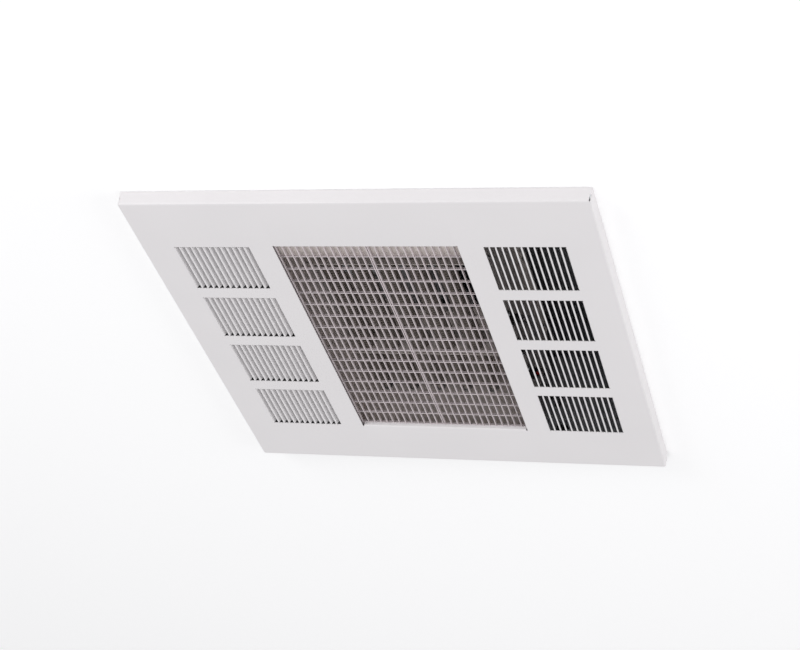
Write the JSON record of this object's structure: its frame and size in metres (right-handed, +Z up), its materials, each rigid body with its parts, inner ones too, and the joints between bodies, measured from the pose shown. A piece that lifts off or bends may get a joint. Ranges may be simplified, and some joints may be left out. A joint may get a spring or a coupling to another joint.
{
  "type": "ceiling mounted fan heater",
  "caption": "Recessed ceiling fan heater: square white hinged panel with lanced side louvres and an egg-crate grille, back box, duct with finned elements, fan and controls.",
  "frame": {"origin": "middle of the four ceiling screw holes, in the plane of the ceiling", "axes": "+Z up into the ceiling, +Y towards the hinged side of the panel, +X to the right when looking along +Y"},
  "size_m": [0.616, 0.61, 0.239],
  "materials": {
    "panel_paint": "satin white powder coat",
    "grille_paint": "satin pinkish grey powder coat",
    "zinc": "zinc plated",
    "spring_steel": "blued",
    "galvanized": "galvanized, spangled",
    "aluminium": "rolled",
    "foam": "closed-cell foam",
    "black_rubber": "matte",
    "motor_paint": "satin black",
    "core_steel": "varnished laminations",
    "copper": "enamelled",
    "bronze": "sintered",
    "brass": "machined",
    "element_steel": "heat tinted",
    "white_ceramic": "glazed",
    "black_phenolic": "moulded",
    "red_plastic": "moulded",
    "green_paint": "green dyed zinc",
    "chrome": "polished",
    "black_wire": "extruded insulation",
    "white_wire": "braided glass sleeve",
    "grey_wire": "extruded insulation"
  },
  "bodies": {
    "housing": {"ceiling_frame": "galvanized", "frame_screws": "zinc", "hinge_brackets": "zinc", "hinge_pins": "zinc", "catch_springs": "spring_steel", "box_wrapper": "galvanized", "box_ends": "galvanized", "hanger_brackets": "galvanized", "hanger_rivets": "aluminium", "heater_duct": "galvanized", "duct_brackets": "galvanized", "duct_screws": "zinc", "fan_deck": "galvanized", "fan_deck_screws": "zinc", "motor_strap": "zinc", "motor_grommets": "black_rubber", "motor_studs": "zinc", "motor_lower_shell": "motor_paint", "motor_upper_shell": "motor_paint", "motor_stator": "core_steel", "motor_windings": "copper", "motor_bearings": "bronze", "heating_elements": "element_steel", "element_bushings": "zinc", "element_insulators": "white_ceramic", "element_terminals": "zinc", "element_jumpers": "zinc", "element_supports": "galvanized", "support_rivets": "aluminium", "high_limit": "black_phenolic", "fan_delay_switch": "black_phenolic", "reset_limit": "black_phenolic", "thermostat_screws": "zinc", "wiring_box": "galvanized", "wiring_cover": "galvanized", "wiring_cover_screws": "zinc", "terminal_block": "black_phenolic", "terminal_screws": "brass", "ground_screw": "green_paint", "control_relay": "black_phenolic", "disconnect_switch": "black_phenolic", "wire_grommets": "black_rubber", "motor_leads": "black_wire", "element_leads": "white_wire", "control_leads": "grey_wire"},
    "panel": {"front_panel": "panel_paint", "discharge_grille": "grille_paint", "grille_clips": "zinc", "grille_clip_nuts": "zinc", "discharge_seal": "foam", "panel_hinge_ears": "zinc", "catch_studs": "zinc"},
    "fan": {"motor_rotor": "core_steel", "fan_shaft": "zinc", "fan_hub": "zinc", "fan_blades": "aluminium", "fan_rivets": "aluminium", "hub_set_screw": "spring_steel"},
    "switch_lever": {"switch_lever": "chrome"},
    "reset_button": {"reset_button": "red_plastic"}
  },
  "joints": [
    {"name": "panel_hinge", "type": "hinge", "parent": "housing", "child": "panel", "pos_m": [0, 0.299, -0.008], "axis": [1, 0, 0], "range_deg": [0, 90]},
    {"name": "fan_spin", "type": "hinge", "parent": "housing", "child": "fan", "pos_m": [0, 0, 0.121], "axis": [0, 0, 1], "continuous": true},
    {"name": "switch_toggle", "type": "hinge", "parent": "housing", "child": "switch_lever", "pos_m": [0.1615, 0.2524, 0.012], "axis": [0, 1, 0], "range_deg": [-22, 0]},
    {"name": "reset_push", "type": "slide", "parent": "housing", "child": "reset_button", "axis": [-1, 0, 0], "range_m": [0, 0.002], "stiffness_N_per_m": 800, "springref_m": -0.001}
  ]
}
